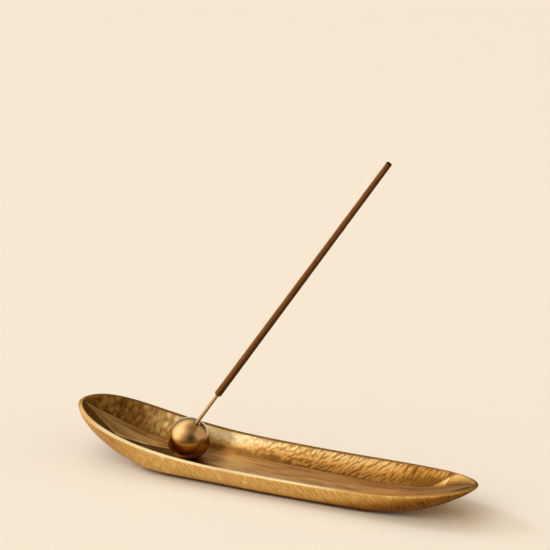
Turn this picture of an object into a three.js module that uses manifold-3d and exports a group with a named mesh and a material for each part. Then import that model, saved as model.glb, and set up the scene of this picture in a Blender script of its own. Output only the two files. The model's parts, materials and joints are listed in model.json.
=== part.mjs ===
// Incense holder: a boat-shaped brass tray with a hammered inner wall, a brass ball that is
// screwed to its floor, and an incense stick that leans out of a slanting hole in the ball.
//
// Millimetres, +Z up. The origin is on the table under the middle of the tray. X runs along the
// tray: the blunt, high end is at -X and the fine, low end at +X, the way the stick leans.

import * as THREE from 'three';
import { mergeVertices } from 'three/addons/utils/BufferGeometryUtils.js';
import Module from 'manifold-3d';

const wasm = await Module();
wasm.setup();

// Tray, seen from above
const TRAY_LENGTH = 250;
const TRAY_WIDTH = 48.4;       // amidships; the blunt end swells to 1.07 times that
const TAPER = 0.077;           // share by which the outline narrows from there to the fine end
const WALL = 2.45;             // wall thickness at the rim, amidships
const RIM_HEIGHT = 12.5;       // outer edge of the rim above the table, amidships
const RIM_TILT = 0.5;          // how much higher the rim's inner edge is than its outer edge

// Tray, seen from below and in section
const BOTTOM_WIDTH = 40.4;     // flat underside, amidships
const BOTTOM_TAPER = 0.08;     // share by which it narrows more than the rim does
const FLOOR_WIDTH = 26.8;      // flat floor inside, amidships
const FLOOR_THICKNESS = 2.9;
const BILGE_CORNER = 0.46;     // where the underside's tangent meets the flared side, 0 to 1
const BILGE_SIDE = 0.85;       // how far the outer side stays straight before it rounds under
const BILGE_BOTTOM = 0.7;      // how far the underside stays straight before it rounds up
const COVE_CORNER = 0.35;      // the same three for the inner wall's cove
const COVE_SIDE = 0.6;
const COVE_FLOOR = 0.55;
const COVE_SLOPE = 0.9;        // rise of the cove's first stretch, which makes the crease

// The high, blunt end and the low, fine one
const BLUNT_END = {
  rise: 19.3,                  // of the rim, over its height amidships
  droop: 0.135,                // share of that rise that the rim loses again at the tip
  flat: 57.5,                  // reach of the flat keel from the tray's middle
  tipWall: 2.3,                // width of the rim along X at the tip
  tipHeight: 2.0,              // metal from the keel up to the rim at the tip
  tipDepth: 1.0,               // depth of the hollow where it ends at the tip
  swell: 0.213,                // of the outline
  floorTaper: 0.9,             // share of its width that the flat floor loses
  floorBend: 4,                // how late it loses it
  outline: 4.71,               // powers of the outline, the sheer and the keel's climb
  round: 0.55,
  sheer: 2.63,
  keel: 1.7,
  thinning: 1.2,               // power by which the floor thins along that climb
};
const FINE_END = {
  rise: 7.9,
  droop: 0,
  flat: 56.5,
  tipWall: 1.8,
  tipHeight: 0.9,
  tipDepth: 0.4,
  swell: 0,
  floorTaper: 0.95,
  floorBend: 6,
  outline: 4.08,
  round: 0.56,
  sheer: 2.6,
  keel: 2.1,
  thinning: 12,
};

// Ball
const BALL_DIAMETER = 26;
const SEAT_DIAMETER = 6;       // flat ground on the ball's underside
const SEAT_MARGIN = 0.4;       // flat floor left beyond the seat, towards the blunt end
const SEAT_GAP = 0.05;         // the ball turns on the floor

// Stick, and the slanting hole that holds it
const STICK_LEAN = 56.7;       // degrees above the table, towards +X
const HOLE_OFFSET = 1.85;      // from the ball's centre up to the hole's axis
const HOLE_DEPTH = 16;         // along the axis, from the ball's surface
const MOUTH_WIDENING = 0.4;    // chamfer round the hole's mouth
const CORE_DIAMETER = 2.3;
const CORE_CLEARANCE = 0.35;   // between the core and the side of its hole
const FOOT_CLEARANCE = 0.3;    // between the core's foot and the bottom of its hole
const BARE_LENGTH = 25.5;      // bamboo that shows between ball and coat
const COAT_LENGTH = 184.5;
const COAT_DIAMETER_LOW = 4.4;
const COAT_DIAMETER_TOP = 3.3;
const COAT_CAP = 2;            // coat beyond the core's upper end
const COAT_CLEARANCE = 0.2;    // between the coat and the core inside it

// Countersunk screw that holds the ball from under the tray
const SCREW_DIAMETER = 4;
const SCREW_HEAD_DIAMETER = 7.6;
const SCREW_HEAD_EDGE = 0.3;   // straight edge of the head below its cone
const SCREW_SUNK = 0.3;        // head's face above the tray's underside
const SCREW_IN_BALL = 7;       // length in the ball
const SCREW_CLEARANCE = 0.25;  // round the shank and under the head's cone
const SLOT_WIDTH = 1.0;
const SLOT_DEPTH = 0.8;

// Fineness of the meshes
const STATIONS_PER_END = 30;
const BILGE_STEPS = 7;
const COVE_STEPS = 9;
const ROUND_STEPS = 32;
const BALL_STEPS = 56;

const halfLength = TRAY_LENGTH / 2;
const ballRadius = BALL_DIAMETER / 2;

/** Half beam of an outline at s, -1 at the blunt tip and 1 at the fine one. */
function halfBeam(s, width) {
  const end = s < 0 ? BLUNT_END : FINE_END;
  const fullness = 1 - TAPER * s + end.swell * s * s;
  return (width / 2) * fullness * Math.max(0, 1 - Math.abs(s) ** end.outline) ** end.round;
}

function rimHeight(s) {
  const end = s < 0 ? BLUNT_END : FINE_END;
  const along = Math.abs(s);
  return RIM_HEIGHT + end.rise * along ** end.sheer * (1 - end.droop * along ** 9);
}

/** How far the keel has climbed at s, 0 on its flat and 1 at a tip. */
function climb(s) {
  const end = s < 0 ? BLUNT_END : FINE_END;
  const flatShare = end.flat / halfLength;
  return Math.max(0, (Math.abs(s) - flatShare) / (1 - flatShare));
}

function keelHeight(s) {
  const end = s < 0 ? BLUNT_END : FINE_END;
  return (rimHeight(Math.sign(s)) - end.tipHeight) * climb(s) ** end.keel;
}

function floorHeight(s) {
  const end = s < 0 ? BLUNT_END : FINE_END;
  const tipThickness = end.tipHeight - end.tipDepth;
  const thinned = climb(s) ** end.thinning;
  return keelHeight(s) + FLOOR_THICKNESS + (tipThickness - FLOOR_THICKNESS) * thinned;
}

/** Points [y, z] of a cubic curve, without its first point. */
function curvePoints(p0, p1, p2, p3, steps) {
  const curve = new THREE.CubicBezierCurve(
    new THREE.Vector2(...p0),
    new THREE.Vector2(...p1),
    new THREE.Vector2(...p2),
    new THREE.Vector2(...p3),
  );
  return curve.getPoints(steps).slice(1).map((point) => [point.x, point.y]);
}

/** Half of the tray's section at s, [x, y, z] from the keel round the rim to the floor. */
function halfSection(s) {
  const end = s < 0 ? BLUNT_END : FINE_END;
  const outerX = s * halfLength;
  const innerX = s * (halfLength - end.tipWall);
  const beam = halfBeam(s, TRAY_WIDTH);
  const narrowed = 1 - BOTTOM_TAPER * (1 - (1 - Math.abs(s)) ** 2);
  const bottom = beam * (BOTTOM_WIDTH / TRAY_WIDTH) * narrowed;
  const keel = keelHeight(s);
  const rim = rimHeight(s);
  const bilge = bottom + BILGE_CORNER * (beam - bottom);
  const outer = [[0, keel], [bottom, keel]].concat(curvePoints(
    [bottom, keel],
    [bottom + BILGE_BOTTOM * (bilge - bottom), keel],
    [beam + BILGE_SIDE * (bilge - beam), rim + BILGE_SIDE * (keel - rim)],
    [beam, rim],
    BILGE_STEPS,
  ));

  const innerWidth = TRAY_WIDTH - 2 * WALL;
  const innerBeam = halfBeam(s, innerWidth);
  const strip = innerBeam * (FLOOR_WIDTH / innerWidth) * (1 - end.floorTaper * Math.abs(s) ** end.floorBend);
  const floor = floorHeight(s);
  const innerRim = rim + RIM_TILT;
  const depth = innerRim - floor;
  const cove = strip + COVE_CORNER * (innerBeam - strip);
  const creaseRise = COVE_SLOPE * Math.min(1, depth / RIM_HEIGHT);
  const inner = [[strip, floor]].concat(curvePoints(
    [strip, floor],
    [strip + COVE_FLOOR * (cove - strip), floor + creaseRise],
    [innerBeam + COVE_SIDE * (cove - innerBeam), innerRim - COVE_SIDE * depth],
    [innerBeam, innerRim],
    COVE_STEPS,
  )).reverse().concat([[0, floor]]);

  return outer.map(([y, z]) => [outerX, y, z]).concat(inner.map(([y, z]) => [innerX, y, z]));
}

/** The hull as one closed body: sections joined from tip to tip, where they close to a line. */
function hullGeometry() {
  const positions = [];
  const indices = [];
  let ringSize = 0;
  for (let i = -STATIONS_PER_END; i <= STATIONS_PER_END; i += 1) {
    const half = halfSection(Math.sin((Math.PI / 2) * (i / STATIONS_PER_END)));
    const mirrored = half.slice(1, -1).reverse().map(([x, y, z]) => [x, -y, z]);
    const ring = half.concat(mirrored);
    ringSize = ring.length;
    positions.push(...ring.flat());
  }
  for (let i = 0; i < 2 * STATIONS_PER_END; i += 1) {
    for (let j = 0; j < ringSize; j += 1) {
      const a = i * ringSize + j;
      const b = i * ringSize + ((j + 1) % ringSize);
      indices.push(a, b, a + ringSize, b, b + ringSize, a + ringSize);
    }
  }
  const geometry = new THREE.BufferGeometry();
  geometry.setAttribute('position', new THREE.Float32BufferAttribute(positions, 3));
  geometry.setIndex(indices);
  return geometry;
}

/** A turned body: profile points [radius, height] spun about Z. */
function turned(profile, steps = ROUND_STEPS) {
  const points = profile.map(([r, z]) => new THREE.Vector2(r, z));
  return new THREE.LatheGeometry(points, steps).rotateX(Math.PI / 2);
}

function solidFrom(geometry) {
  const bare = geometry.clone();
  bare.deleteAttribute('normal');
  bare.deleteAttribute('uv');
  const merged = mergeVertices(bare, 1e-4);
  const corners = Array.from(merged.index.array);
  const faces = [];
  for (let i = 0; i < corners.length; i += 3) {
    const [a, b, c] = corners.slice(i, i + 3);
    if (a !== b && b !== c && c !== a) faces.push(a, b, c);
  }
  return new wasm.Manifold(new wasm.Mesh({
    numProp: 3,
    vertProperties: Float32Array.from(merged.attributes.position.array),
    triVerts: Uint32Array.from(faces),
  }));
}

function geometryFrom(solid) {
  const mesh = solid.getMesh();
  const geometry = new THREE.BufferGeometry();
  geometry.setAttribute('position', new THREE.BufferAttribute(mesh.vertProperties, 3));
  geometry.setIndex(new THREE.BufferAttribute(mesh.triVerts, 1));
  geometry.computeVertexNormals();
  return geometry;
}

function namedMesh(name, geometry, material) {
  const mesh = new THREE.Mesh(geometry, material);
  mesh.name = name;
  return mesh;
}

// Places that several pieces share
const innerFlatEnd = BLUNT_END.flat * (1 - BLUNT_END.tipWall / halfLength);
const ballX = -(innerFlatEnd - SEAT_DIAMETER / 2 - SEAT_MARGIN);
const seatDrop = Math.sqrt(ballRadius ** 2 - (SEAT_DIAMETER / 2) ** 2);
const seatZ = FLOOR_THICKNESS + SEAT_GAP;
const ballZ = seatZ + seatDrop;
const lean = THREE.MathUtils.degToRad(STICK_LEAN);
const surfaceAlongAxis = Math.sqrt(ballRadius ** 2 - HOLE_OFFSET ** 2);
const holeRadius = CORE_DIAMETER / 2 + CORE_CLEARANCE;
const headRadius = SCREW_HEAD_DIAMETER / 2;
const shankRadius = SCREW_DIAMETER / 2;

/** Turns a body made along +Z so that it lies on the hole's axis, from the ball's centre. */
function ontoHoleAxis(geometry) {
  return geometry
    .rotateY(Math.PI / 2 - lean)
    .translate(-HOLE_OFFSET * Math.sin(lean), 0, HOLE_OFFSET * Math.cos(lean));
}

/** Profile of the countersunk screw, or of the hole that it needs with a clearance. */
function screwProfile(clearance, top) {
  const edgeTop = SCREW_SUNK + SCREW_HEAD_EDGE;
  const coneTop = edgeTop + headRadius - shankRadius;
  const bottom = clearance > 0 ? -1 : SCREW_SUNK;
  return [
    [0, bottom],
    [headRadius + clearance, bottom],
    [headRadius + clearance, edgeTop],
    [shankRadius + clearance, coneTop],
    [shankRadius + clearance, top],
    [0, top],
  ];
}

function makeTray() {
  const screwHole = turned(screwProfile(SCREW_CLEARANCE, FLOOR_THICKNESS + 1));
  screwHole.translate(ballX, 0, 0);
  const material = new THREE.MeshStandardMaterial({
    color: 0xb98a45,
    roughness: 0.35,
    metalness: 1,
  });
  const solid = solidFrom(hullGeometry()).subtract(solidFrom(screwHole));
  return namedMesh('boat_tray', geometryFrom(solid), material);
}

function makeBall() {
  const sphere = new THREE.SphereGeometry(ballRadius, BALL_STEPS, BALL_STEPS / 2);
  sphere.rotateX(Math.PI / 2);
  const below = new THREE.BoxGeometry(BALL_DIAMETER, BALL_DIAMETER, BALL_DIAMETER);
  below.translate(0, 0, -seatDrop - ballRadius);
  const mouthRadius = holeRadius + MOUTH_WIDENING;
  const stickHole = ontoHoleAxis(turned([
    [0, surfaceAlongAxis - HOLE_DEPTH],
    [holeRadius, surfaceAlongAxis - HOLE_DEPTH],
    [holeRadius, surfaceAlongAxis - 1.5 * MOUTH_WIDENING],
    [mouthRadius + MOUTH_WIDENING, surfaceAlongAxis + 1.5 * MOUTH_WIDENING],
    [mouthRadius + MOUTH_WIDENING, surfaceAlongAxis + 2 * mouthRadius],
    [0, surfaceAlongAxis + 2 * mouthRadius],
  ]));
  const threadRadius = shankRadius + SCREW_CLEARANCE;
  const threadTop = SCREW_IN_BALL + SCREW_CLEARANCE - seatDrop;
  const screwHole = turned([
    [0, -ballRadius - 1],
    [threadRadius, -ballRadius - 1],
    [threadRadius, threadTop],
    [0, threadTop + threadRadius / 2],
  ]);
  const solid = solidFrom(sphere)
    .subtract(solidFrom(below))
    .subtract(solidFrom(stickHole))
    .subtract(solidFrom(screwHole));
  const material = new THREE.MeshStandardMaterial({
    color: 0xa8742c,
    roughness: 0.15,
    metalness: 1,
  });
  const mesh = namedMesh('ball_holder', geometryFrom(solid), material);
  mesh.position.set(ballX, 0, ballZ);
  return mesh;
}

function makeScrew() {
  const slot = new THREE.BoxGeometry(2 * SCREW_HEAD_DIAMETER, SLOT_WIDTH, 2 * SLOT_DEPTH);
  slot.translate(0, 0, SCREW_SUNK);
  const body = turned(screwProfile(0, seatZ + SCREW_IN_BALL));
  const material = new THREE.MeshStandardMaterial({
    color: 0xc7a15a,
    roughness: 0.3,
    metalness: 1,
  });
  const solid = solidFrom(body).subtract(solidFrom(slot));
  const mesh = namedMesh('fixing_screw', geometryFrom(solid), material);
  mesh.position.set(ballX, 0, 0);
  return mesh;
}

/** The stick, standing on its lower end: its group is turned to lean in the ball's hole. */
function makeStick() {
  const coreRadius = CORE_DIAMETER / 2;
  const coatFoot = HOLE_DEPTH - FOOT_CLEARANCE + BARE_LENGTH;
  const coatTop = coatFoot + COAT_LENGTH;
  const coreTop = coatTop - COAT_CAP - COAT_CLEARANCE;
  const boreRadius = coreRadius + COAT_CLEARANCE;
  const bamboo = new THREE.MeshStandardMaterial({ color: 0xd0a878, roughness: 0.7 });
  const paste = new THREE.MeshStandardMaterial({ color: 0x6b4a2c, roughness: 0.9 });
  const core = turned([[0, 0], [coreRadius, 0], [coreRadius, coreTop], [0, coreTop]]);
  const coat = turned([
    [0, coatTop - COAT_CAP],
    [boreRadius, coatTop - COAT_CAP],
    [boreRadius, coatFoot],
    [COAT_DIAMETER_LOW / 2, coatFoot],
    [COAT_DIAMETER_TOP / 2, coatTop],
    [0, coatTop],
  ]);
  const stick = new THREE.Group();
  stick.add(namedMesh('bamboo_core', geometryFrom(solidFrom(core)), bamboo));
  stick.add(namedMesh('incense_coat', geometryFrom(solidFrom(coat)), paste));

  const footAlongAxis = surfaceAlongAxis - HOLE_DEPTH + FOOT_CLEARANCE;
  stick.rotation.y = Math.PI / 2 - lean;
  stick.position.set(
    ballX - HOLE_OFFSET * Math.sin(lean) + footAlongAxis * Math.cos(lean),
    0,
    ballZ + HOLE_OFFSET * Math.cos(lean) + footAlongAxis * Math.sin(lean),
  );
  return stick;
}

const holder = new THREE.Group();
holder.name = 'incense_holder';
holder.add(makeTray(), makeScrew(), makeBall(), makeStick());

export default holder;
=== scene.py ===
import json
import math

import bmesh
import bpy
import numpy as np
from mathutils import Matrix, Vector


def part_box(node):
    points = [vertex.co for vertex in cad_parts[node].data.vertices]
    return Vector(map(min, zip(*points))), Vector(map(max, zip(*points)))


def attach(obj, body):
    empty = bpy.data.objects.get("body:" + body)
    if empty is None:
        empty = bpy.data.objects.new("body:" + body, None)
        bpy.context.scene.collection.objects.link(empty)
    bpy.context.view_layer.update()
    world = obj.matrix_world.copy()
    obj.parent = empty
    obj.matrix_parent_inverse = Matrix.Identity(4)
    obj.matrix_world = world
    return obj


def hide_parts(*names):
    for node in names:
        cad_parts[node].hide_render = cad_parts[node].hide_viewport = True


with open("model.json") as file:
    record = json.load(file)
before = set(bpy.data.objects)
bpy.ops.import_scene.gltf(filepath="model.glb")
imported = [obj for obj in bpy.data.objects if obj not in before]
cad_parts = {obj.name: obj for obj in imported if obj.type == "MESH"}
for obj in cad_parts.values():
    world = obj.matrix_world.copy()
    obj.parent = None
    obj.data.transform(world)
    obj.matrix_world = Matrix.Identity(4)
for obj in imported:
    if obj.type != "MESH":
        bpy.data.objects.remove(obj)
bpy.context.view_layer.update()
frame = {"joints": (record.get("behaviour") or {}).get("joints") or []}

bl_info = {
    "name": "Incense holder",
    "version": (1, 0, 0),
    "blender": (4, 5, 0),
    "location": "3D View > Sidebar > Incense holder",
    "description": "Hammered brass boat tray with a drilled brass ball and a leaning incense stick",
    "category": "Object",
}

# Places and sizes that the frame gives, in metres
_, TRAY_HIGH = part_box("boat_tray")
BALL_LOW, BALL_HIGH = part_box("ball_holder")
SCREW_LOW, SCREW_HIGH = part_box("fixing_screw")
HALF_LENGTH = TRAY_HIGH.x
BALL_RADIUS = (BALL_HIGH.x - BALL_LOW.x) / 2
BALL_X = (BALL_HIGH.x + BALL_LOW.x) / 2
BALL_Z = BALL_HIGH.z - BALL_RADIUS
BALL_MIDDLE = Vector((BALL_X, 0, BALL_Z))
STICK_AXIS = Vector(next(j["axis"] for j in frame["joints"] if j["name"] == "stick_pull"))
STICK_TURN = math.atan2(STICK_AXIS.x, STICK_AXIS.z)

# Tray's section and outline, as the solids have them
AMIDSHIPS_WIDTH = 0.0484
TAPER = 0.077
WALL = 0.00245
RIM_HEIGHT = 0.0125
RIM_TILT = 0.0005
BOTTOM_SHARE = 40.4 / 48.4
BOTTOM_TAPER = 0.08
STRIP_SHARE = 26.8 / 43.5
FLOOR_THICKNESS = 0.0029

# What steers the section's two curves: where the corners of the bilge and the cove lie, and how
# far the ends of each curve are drawn towards them
BILGE_CORNER = 0.46
BILGE_BOTTOM = 0.7
BILGE_SIDE = 0.85
COVE_CORNER = 0.35
COVE_FLOOR = 0.55
COVE_SIDE = 0.6
COVE_SLOPE = 0.0009

# What shapes the hull towards its blunt end and towards its fine one
END_SHAPES = {
    "rise": (0.0193, 0.0079),
    "droop": (0.135, 0.0),
    "flat": (0.0575, 0.0565),
    "tip_wall": (0.0023, 0.0018),
    "tip_height": (0.002, 0.0009),
    "tip_depth": (0.001, 0.0004),
    "swell": (0.213, 0.0),
    "floor_taper": (0.9, 0.95),
    "floor_bend": (4, 6),
    "outline": (4.71, 4.08),
    "round": (0.55, 0.56),
    "sheer": (2.63, 2.6),
    "keel": (1.7, 2.1),
    "thinning": (1.2, 12),
}
BLUNT_END, FINE_END = ({name: pair[end] for name, pair in END_SHAPES.items()} for end in (0, 1))

# Fineness of the tray's two skins before they are subdivided twice
COLUMNS_PER_END = 66
TIP_CROWDING = 8
TIP_CLOSENESS = 0.93
BOTTOM_ROWS = 1
SIDE_ROWS = 3
ROUND_ROWS = 3
FLOOR_ROWS = 2
WALL_ROWS = 12
SKIN_LEVELS = 2
WELD = 1e-6
RIM_ROUNDING = 0.0004
RIM_STEPS = 3
RIM_PROFILE = 0.42
FOOT_CREASE = 0.55
HOLE_SIDES = 64
OVERSHOOT = 0.001

# Hammer marks: where along the boat they begin and end, the height of wall that the rows share,
# how far apart marks and rows are for their breadth, and how far a mark reaches for its length
MARKS_FROM = -0.114
MARKS_TO = 0.104
MARKED_WALL = 0.0135
FEWEST_ROWS = 3
MARK_STEP = 1.5
ROW_STEP = 2.2
MARK_REACH = 1.2

# Ball and the slanting hole in it
HOLE_OFFSET = 0.00185
HOLE_DEPTH = 0.016
HOLE_RADIUS = 0.0015
MOUTH_WIDENING = 0.0004
HOLE_MOUTH = math.sqrt(BALL_RADIUS ** 2 - HOLE_OFFSET ** 2)
BALL_CUTS = 47

# Screw under the ball
SHANK_RADIUS = 0.002
HEAD_RADIUS = 0.0038
HEAD_EDGE = 0.0003
SCREW_CLEARANCE = 0.00025
SLOT_WIDTH = 0.001
SLOT_DEPTH = 0.0008

# Stick
CORE_RADIUS = 0.00115
FOOT_CLEARANCE = 0.0003
BARE_LENGTH = 0.0255
COAT_LENGTH = 0.1845
COAT_RADIUS_LOW = 0.0022
COAT_RADIUS_TOP = 0.00165
COAT_CAP = 0.002
COAT_CLEARANCE = 0.0002

# Camera: where it looks and from where, for a square picture
AIM = Vector((0.00215, 0.00096, 0.1291))
AZIMUTH = math.radians(21.53)
ELEVATION = math.radians(21.897)
DISTANCE = 0.898945
SENSOR = 36.0
LENS = 104.727

# Patches of the studio's sky: each one's middle, as angles from the camera and up, its spread
# sideways and upward, and the power that sharpens its edge
SKY = {
    "window": ((-88, 42), (0.68, 0.66), 2.4),
    "low light": ((-68, 5), (0.40, 0.30), 2),
    "back light": ((-165, 52), (0.45, 0.35), 2),
    "card": ((84, 27), (0.60, 0.46), 8),
    "photographer": ((16, 26), (0.36, 0.40), 3),
    "panel": ((142, 22), (0.18, 0.55), 4),
}

# What every colour that a user can change has in common
COLOUR = {"subtype": "COLOR", "min": 0, "max": 1}


class TraySettings(bpy.types.PropertyGroup):
    rubbed: bpy.props.FloatVectorProperty(
        name="Rubbed brass", description="Colour of the metal where it is rubbed bright",
        default=(1.0, 0.84, 0.50), **COLOUR)
    brass: bpy.props.FloatVectorProperty(
        name="Brass", description="Colour of the metal",
        default=(0.68, 0.42, 0.14), **COLOUR)
    tarnish: bpy.props.FloatVectorProperty(
        name="Tarnish", description="Colour of the brown film",
        default=(0.42, 0.20, 0.045), **COLOUR)
    # The darkest colour serves both real grime and the tray's painted shade.
    grime_and_shade: bpy.props.FloatVectorProperty(
        name="Grime", description="Colour of the film at its darkest",
        default=(0.13, 0.055, 0.008), **COLOUR)
    dust: bpy.props.FloatVectorProperty(
        name="Dust", description="Colour of the ash that is rubbed into the floor",
        default=(0.52, 0.34, 0.20), **COLOUR)
    mark_depth: bpy.props.FloatProperty(
        name="Mark depth", description="Depth of the deepest hammer marks", unit="LENGTH",
        default=0.00017, min=0, max=0.0004)
    rim_rounding: bpy.props.FloatProperty(
        name="Rim rounding", description="Width of the rounding along the rim's inner edge",
        unit="LENGTH", default=0.00025, min=0, max=0.0004)
    seed: bpy.props.IntProperty(
        name="Seed", description="Another number strikes the marks in other places", default=7)


class BallSettings(bpy.types.PropertyGroup):
    brass: bpy.props.FloatVectorProperty(
        name="Brass", description="Colour of the polished metal",
        default=(0.58, 0.31, 0.065), **COLOUR)
    # This colour is a painted reflection of the tray in the ball's lower part.
    foot: bpy.props.FloatVectorProperty(
        name="Foot", description="Colour below the line where the ball mirrors the tray",
        default=(0.30, 0.12, 0.016), **COLOUR)
    polish: bpy.props.FloatProperty(
        name="Roughness", description="Low on a bright polish", subtype="FACTOR",
        default=0.17, min=0, max=1)


class StickSettings(bpy.types.PropertyGroup):
    bamboo: bpy.props.FloatVectorProperty(
        name="Bamboo", description="Colour of the bare core",
        default=(0.84, 0.50, 0.20), **COLOUR)
    paste: bpy.props.FloatVectorProperty(
        name="Paste", description="Colour of the dried incense paste",
        default=(0.22, 0.085, 0.02), **COLOUR)
    unevenness: bpy.props.FloatProperty(
        name="Unevenness", description="How far the coat's surface dips below its full size",
        unit="LENGTH", default=0.00008, min=0, max=0.0003)
    seed: bpy.props.IntProperty(
        name="Seed", description="Another number gives another uneven surface", default=3)


class StageSettings(bpy.types.PropertyGroup):
    floor: bpy.props.FloatVectorProperty(
        name="Floor", description="Colour of the table and of the air behind it",
        default=(0.94, 0.87, 0.78), **COLOUR)
    key: bpy.props.FloatProperty(
        name="Key", description="Strength of the soft light from behind on the left",
        default=0.78, min=0, max=20)
    fill: bpy.props.FloatProperty(
        name="Fill", description="Strength of the warm light from above",
        default=0.28, min=0, max=20)
    window: bpy.props.FloatProperty(
        name="Window", description="Brightness of the soft window on the left",
        default=1.87, min=0, max=20)
    back_light: bpy.props.FloatProperty(
        name="Back light", description="Brightness of the light above and behind the object",
        default=0.85, min=0, max=10)
    card: bpy.props.FloatProperty(
        name="Card", description="Brightness of the pale card on the right",
        default=0.42, min=0, max=5)
    room: bpy.props.FloatProperty(
        name="Room", description="Brightness of the studio round it", default=0.3, min=0, max=5)


class Value:
    """What a shader node gives out. Sums on plain numbers add Math nodes."""

    def __init__(self, shader, socket):
        self.shader = shader
        self.socket = socket

    def maths(self, operation, *values):
        node = self.shader.add("ShaderNodeMath", {"operation": operation}, dict(enumerate(values)))
        return node["Value"]

    def __add__(self, other):
        return self.maths("ADD", self, other)

    def __radd__(self, other):
        return self.maths("ADD", other, self)

    def __sub__(self, other):
        return self.maths("SUBTRACT", self, other)

    def __rsub__(self, other):
        return self.maths("SUBTRACT", other, self)

    def __mul__(self, other):
        return self.maths("MULTIPLY", self, other)

    def __rmul__(self, other):
        return self.maths("MULTIPLY", other, self)

    def __truediv__(self, other):
        return self.maths("DIVIDE", self, other)

    def __rtruediv__(self, other):
        return self.maths("DIVIDE", other, self)

    def __pow__(self, other):
        return self.maths("POWER", self, other)

    def exp(self):
        return self.maths("EXPONENT", self)

    def size(self):
        return self.maths("ABSOLUTE", self)

    def lesser(self, other):
        return self.maths("MINIMUM", self, other)

    def blend(self, other, share):
        """This where the share is 0 and the other where it is 1."""
        return self * (1 - share) + share * other

    def over(self, low, high):
        """0 below low, 1 above high and a smooth rise between them."""
        node = self.shader.add(
            "ShaderNodeMapRange",
            {"interpolation_type": "SMOOTHSTEP"},
            {"Value": self, "From Min": low, "From Max": high})
        return node["Result"]


class Added:
    """A node that was added, whose outputs are read by name."""

    def __init__(self, shader, node):
        self.shader = shader
        self.node = node

    def __getitem__(self, name):
        return Value(self.shader, self.node.outputs[name])


class Shader:
    """The nodes of a material or of the world."""

    def __init__(self, owner):
        owner.use_nodes = True
        self.tree = owner.node_tree
        self.tree.nodes.clear()

    def add(self, kind, settings=None, inputs=None):
        """One node: its settings are made first, then its sockets take values or links."""
        node = self.tree.nodes.new(kind)
        for name, setting in (settings or {}).items():
            if name == "stops":
                self.set_stops(node.color_ramp, setting)
            else:
                setattr(node, name, setting)
        for name, value in (inputs or {}).items():
            if isinstance(value, Value):
                self.tree.links.new(value.socket, node.inputs[name])
            else:
                node.inputs[name].default_value = value
        return Added(self, node)

    def set_stops(self, ramp, stops):
        for index, (place, colour) in enumerate(stops):
            if index < len(ramp.elements):
                element = ramp.elements[index]
                element.position = place
            else:
                element = ramp.elements.new(place)
            element.color = (*colour, 1)

    def ramp(self, factor, *stops):
        return self.add("ShaderNodeValToRGB", {"stops": stops}, {"Fac": factor})["Color"]

    def mix(self, factor, first, second):
        """A colour between two colours."""
        settings = {"data_type": "RGBA"}
        node = self.add("ShaderNodeMix", settings, {0: factor, 6: rgba(first), 7: rgba(second)})
        return Value(self, node.node.outputs[2])

    def place(self):
        return self.add("ShaderNodeTexCoord")["Object"]

    def across_surface(self):
        return self.add("ShaderNodeTexCoord")["UV"]

    def moved(self, vector, location):
        return self.add("ShaderNodeMapping", {}, {"Vector": vector, "Location": location})["Vector"]

    def turned(self, vector, rotation):
        return self.add("ShaderNodeMapping", {}, {"Vector": vector, "Rotation": rotation})["Vector"]

    def scaled(self, vector, *scale):
        return self.add("ShaderNodeMapping", {}, {"Vector": vector, "Scale": scale})["Vector"]

    def parts(self, vector):
        node = self.add("ShaderNodeSeparateXYZ", {}, {"Vector": vector})
        return node["X"], node["Y"], node["Z"]

    def noise(self, vector, scale, detail=2.0, roughness=0.5, distortion=0.0):
        inputs = {
            "Vector": vector,
            "Scale": scale,
            "Detail": detail,
            "Roughness": roughness,
            "Distortion": distortion,
        }
        return self.add("ShaderNodeTexNoise", {}, inputs)["Fac"]

    def bump(self, height, depth, normal=None):
        """Depth is in metres, for a height from 0 to 1."""
        inputs = {"Height": height, "Strength": 1.0, "Distance": depth}
        if normal:
            inputs["Normal"] = normal
        return self.add("ShaderNodeBump", {}, inputs)["Normal"]

    def principled(self, inputs):
        bsdf = self.add("ShaderNodeBsdfPrincipled", {}, inputs)
        self.add("ShaderNodeOutputMaterial", {}, {"Surface": bsdf["BSDF"]})


def rgba(colour):
    return colour if isinstance(colour, Value) else (*colour, 1)


def dyed(colour, *shares):
    """A colour times one share, or times one share each for its red, green and blue."""
    return [part * share for part, share in zip(colour, shares * 3)]


def new_material(name):
    material = bpy.data.materials.new(name)
    return material, Shader(material)


def brass_surface(shader, colour, roughness, normal, lacquer, gloss=1.5):
    shader.principled({
        "Base Color": colour,
        "Metallic": 1.0,
        "Roughness": roughness,
        "Normal": normal,
        "Coat Weight": lacquer,
        "Coat Roughness": 0.2,
        "Coat IOR": gloss,
    })


def matt_surface(shader, colour, roughness, specular, **more):
    shader.principled({
        "Base Color": rgba(colour),
        "Roughness": roughness,
        "Specular IOR Level": specular,
        **more,
    })


def aged_brass(shader, age_and_shade, settings, tint=(1, 1, 1)):
    """The metal's colour from rubbed bright at 0, over plain and tarnished, to grimy at 1. The
    tray's painted shade is laid on the same scale.
    """
    colours = (settings.rubbed, settings.brass, settings.tarnish, settings.grime_and_shade)
    return shader.ramp(age_and_shade, *zip((0, 0.3, 0.6, 1), (dyed(colour, *tint) for colour in colours)))


def far_side(y):
    """1 on the half of the boat that lies away from the photo's camera."""
    return y.over(0.001, 0.004)


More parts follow.
